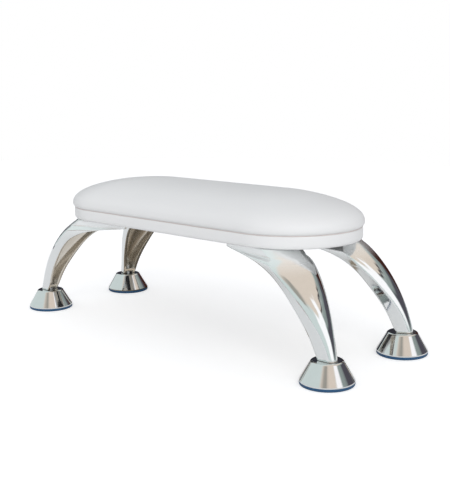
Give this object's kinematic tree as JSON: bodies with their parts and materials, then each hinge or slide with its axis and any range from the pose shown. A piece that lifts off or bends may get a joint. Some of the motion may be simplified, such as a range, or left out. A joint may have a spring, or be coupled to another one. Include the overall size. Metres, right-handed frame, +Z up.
{
  "type": "manicure hand rest",
  "caption": "Low padded rest for the hand and wrist during a manicure: a round-ended covered board on curved chromed legs with cone feet that screw in and out.",
  "frame": {"origin": "on the floor, under the middle of the pad, between the four feet", "axes": "+X along the pad's length, +Y across it, +Z up from the floor"},
  "size_m": [0.401, 0.1472, 0.1365],
  "materials": {
    "white_leather": "soft white imitation leather, fine grain, satin",
    "seam_thread": "sewn seam in pale thread",
    "foam": "open-cell foam",
    "board": "raw plywood",
    "lining": "non-woven dust cloth",
    "steel": "zinc-plated",
    "chrome": "bright chrome plate on a casting",
    "stud_chrome": "bright chrome plate",
    "cup_chrome": "bright chrome plate on pressed steel",
    "blue_rubber": "dark blue, smooth"
  },
  "bodies": {
    "rest": {"top_cover": "white_leather", "side_band": "white_leather", "seam_stitching": "seam_thread", "foam_pad": "foam", "base_board": "board", "bottom_lining": "lining", "cover_staples": "steel", "leg_front_left": "chrome", "leg_screws_front_left": "steel", "leg_front_right": "chrome", "leg_screws_front_right": "steel", "leg_rear_left": "chrome", "leg_screws_rear_left": "steel", "leg_rear_right": "chrome", "leg_screws_rear_right": "steel"},
    "stud_front_left": {"foot_stud_front_left": "stud_chrome"},
    "foot_front_left": {"foot_cup_front_left": "cup_chrome", "foot_pad_front_left": "blue_rubber"},
    "stud_front_right": {"foot_stud_front_right": "stud_chrome"},
    "foot_front_right": {"foot_cup_front_right": "cup_chrome", "foot_pad_front_right": "blue_rubber"},
    "stud_rear_left": {"foot_stud_rear_left": "stud_chrome"},
    "foot_rear_left": {"foot_cup_rear_left": "cup_chrome", "foot_pad_rear_left": "blue_rubber"},
    "stud_rear_right": {"foot_stud_rear_right": "stud_chrome"},
    "foot_rear_right": {"foot_cup_rear_right": "cup_chrome", "foot_pad_rear_right": "blue_rubber"}
  },
  "joints": [
    {"name": "foot_travel_front_left", "type": "slide", "parent": "rest", "child": "stud_front_left", "axis": [0, 0, -1], "range_m": [0, 0.004]},
    {"name": "foot_turn_front_left", "type": "hinge", "parent": "stud_front_left", "child": "foot_front_left", "pos_m": [-0.1789, -0.052, 0.01], "axis": [0, 0, -1], "range_deg": [0, 1440]},
    {"name": "foot_travel_front_right", "type": "slide", "parent": "rest", "child": "stud_front_right", "axis": [0, 0, -1], "range_m": [0, 0.004]},
    {"name": "foot_turn_front_right", "type": "hinge", "parent": "stud_front_right", "child": "foot_front_right", "pos_m": [0.1789, -0.052, 0.01], "axis": [0, 0, -1], "range_deg": [0, 1440]},
    {"name": "foot_travel_rear_left", "type": "slide", "parent": "rest", "child": "stud_rear_left", "axis": [0, 0, -1], "range_m": [0, 0.004]},
    {"name": "foot_turn_rear_left", "type": "hinge", "parent": "stud_rear_left", "child": "foot_rear_left", "pos_m": [-0.1789, 0.052, 0.01], "axis": [0, 0, -1], "range_deg": [0, 1440]},
    {"name": "foot_travel_rear_right", "type": "slide", "parent": "rest", "child": "stud_rear_right", "axis": [0, 0, -1], "range_m": [0, 0.004]},
    {"name": "foot_turn_rear_right", "type": "hinge", "parent": "stud_rear_right", "child": "foot_rear_right", "pos_m": [0.1789, 0.052, 0.01], "axis": [0, 0, -1], "range_deg": [0, 1440]}
  ],
  "couplings": [
    {"joint": "foot_travel_front_left", "follows": "foot_turn_front_left", "m_per_rad": 0.00015915},
    {"joint": "foot_travel_front_right", "follows": "foot_turn_front_right", "m_per_rad": 0.00015915},
    {"joint": "foot_travel_rear_left", "follows": "foot_turn_rear_left", "m_per_rad": 0.00015915},
    {"joint": "foot_travel_rear_right", "follows": "foot_turn_rear_right", "m_per_rad": 0.00015915}
  ]
}
